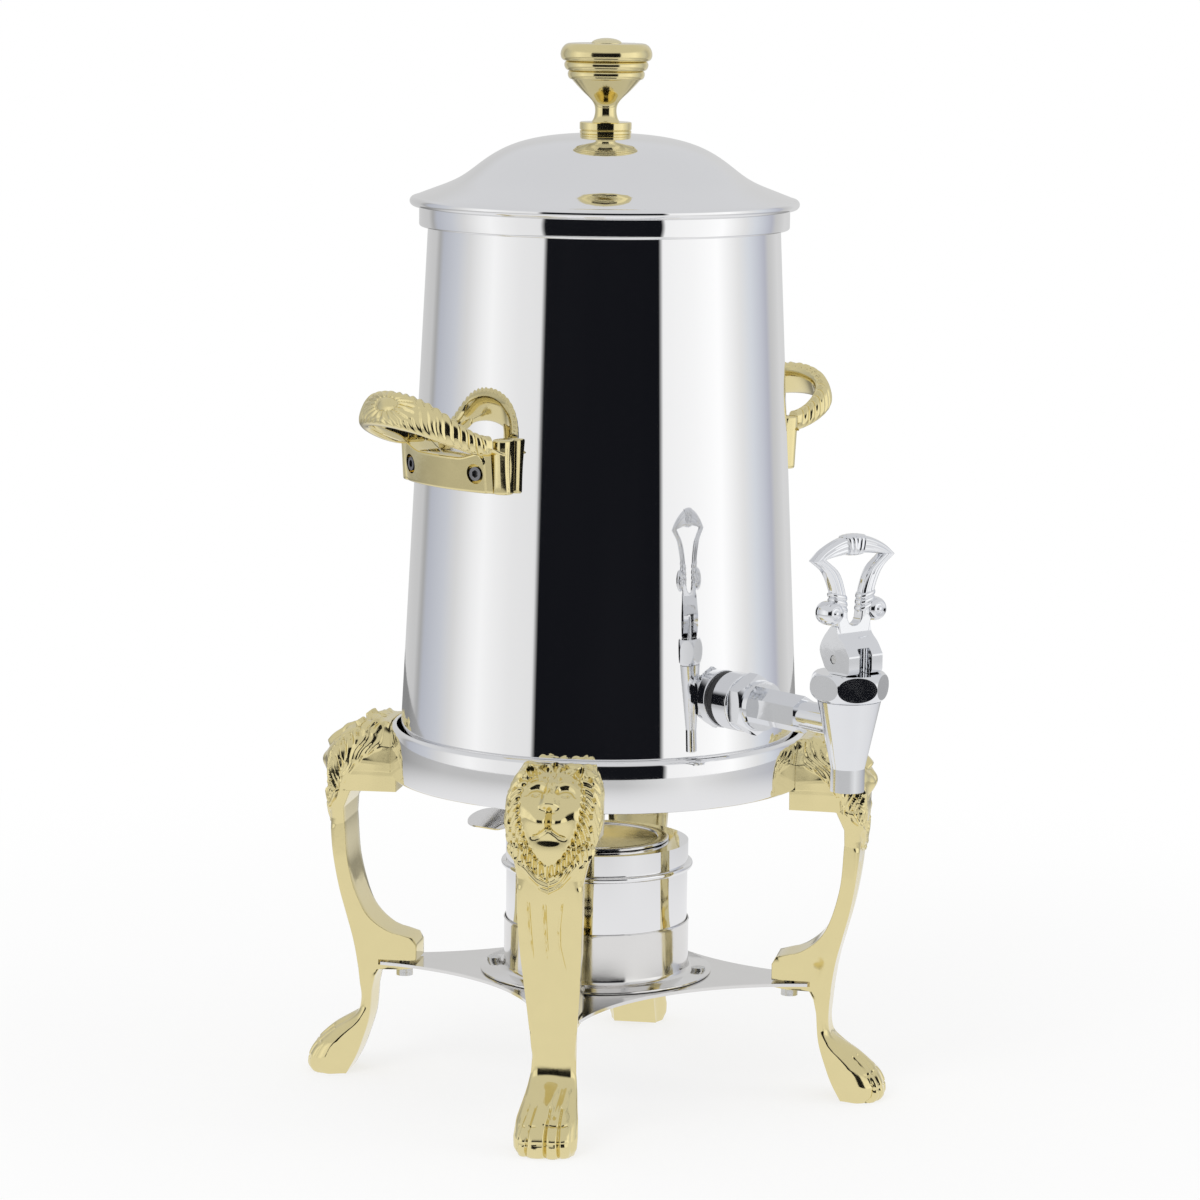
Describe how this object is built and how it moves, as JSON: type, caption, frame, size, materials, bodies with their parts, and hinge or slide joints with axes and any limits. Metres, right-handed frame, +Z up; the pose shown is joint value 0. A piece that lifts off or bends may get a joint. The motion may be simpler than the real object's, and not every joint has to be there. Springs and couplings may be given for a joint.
{
  "type": "coffee urn",
  "caption": "Tapering stainless coffee urn with a domed lid, lever tap and side handles, on a lion-paw stand with a fuel burner under it.",
  "frame": {"origin": "on the urn's axis at the floor that the paws stand on", "axes": "+Z up along the urn's axis, the tap points to -Y, the side handles lie along +X and -X"},
  "size_m": [0.2832, 0.3306, 0.535],
  "materials": {
    "mirror_steel": "mirror-polished stainless steel",
    "polished_brass": "polished cast brass, pale gold, lacquered",
    "satin_brass": "satin pale brass",
    "chrome_plate": "bright chrome plate on brass",
    "sheet_steel": "plain bright stainless sheet",
    "zinc_steel": "plain steel fastener",
    "dark_steel": "darkened socket screw",
    "black_rubber": "black rubber washer",
    "silicone": "translucent silicone"
  },
  "bodies": {
    "stand": {"base_ring": "mirror_steel", "leg_front_right": "polished_brass", "leg_back_right": "polished_brass", "leg_back_left": "polished_brass", "leg_front_left": "polished_brass", "leg_screws": "zinc_steel", "tray_plate": "sheet_steel", "tray_bolts": "zinc_steel", "fuel_cup": "mirror_steel", "fuel_cup_screws": "zinc_steel", "fuel_cup_nuts": "zinc_steel"},
    "vessel": {"vessel_wall": "mirror_steel", "vessel_bottom": "sheet_steel", "top_band": "mirror_steel", "handle_left": "polished_brass", "handle_right": "polished_brass", "handle_bushes": "zinc_steel", "handle_screws": "dark_steel", "tap_gasket": "black_rubber", "tap_flange": "chrome_plate", "tap_locknut": "chrome_plate", "inner_gasket": "black_rubber", "shank_nut": "zinc_steel", "faucet_body": "chrome_plate", "faucet_bonnet": "chrome_plate", "valve_spring": "zinc_steel"},
    "valve": {"valve_stem": "chrome_plate", "seat_cup": "silicone", "lever_pin": "zinc_steel"},
    "lever": {"tap_lever": "chrome_plate"},
    "lid": {"lid_shell": "mirror_steel", "lid_ring": "sheet_steel", "knob_collar": "polished_brass", "lid_knob": "polished_brass", "knob_button": "satin_brass", "knob_washer": "zinc_steel", "knob_screw": "zinc_steel"},
    "canister": {"fuel_canister": "mirror_steel", "canister_cap": "mirror_steel", "damper_rivet": "zinc_steel"},
    "damper": {"damper_cover": "sheet_steel"}
  },
  "joints": [
    {"name": "urn_lift", "type": "slide", "parent": "stand", "child": "vessel", "axis": [0, 0, 1], "range_m": [0, 0.15]},
    {"name": "lid_lift", "type": "slide", "parent": "vessel", "child": "lid", "axis": [0, 0, 1], "range_m": [0, 0.12]},
    {"name": "stem_lift", "type": "slide", "parent": "vessel", "child": "valve", "axis": [0, 0, 1], "range_m": [0, 0.0046], "stiffness_N_per_m": 250, "springref_m": -0.012, "deforming": ["valve_spring"]},
    {"name": "lever_tilt", "type": "hinge", "parent": "valve", "child": "lever", "pos_m": [0, -0.18493, 0.247], "axis": [1, 0, 0], "range_deg": [0, 35]},
    {"name": "canister_lift", "type": "slide", "parent": "stand", "child": "canister", "axis": [0, 0, 1], "range_m": [0, 0.027]},
    {"name": "damper_swing", "type": "hinge", "parent": "canister", "child": "damper", "pos_m": [-0.04035, 0.00726, 0.1287], "axis": [0, 0, 1], "range_deg": [0, 100]}
  ],
  "couplings": [
    {"joint": "stem_lift", "follows": "lever_tilt", "m_per_rad": 0.0075}
  ]
}
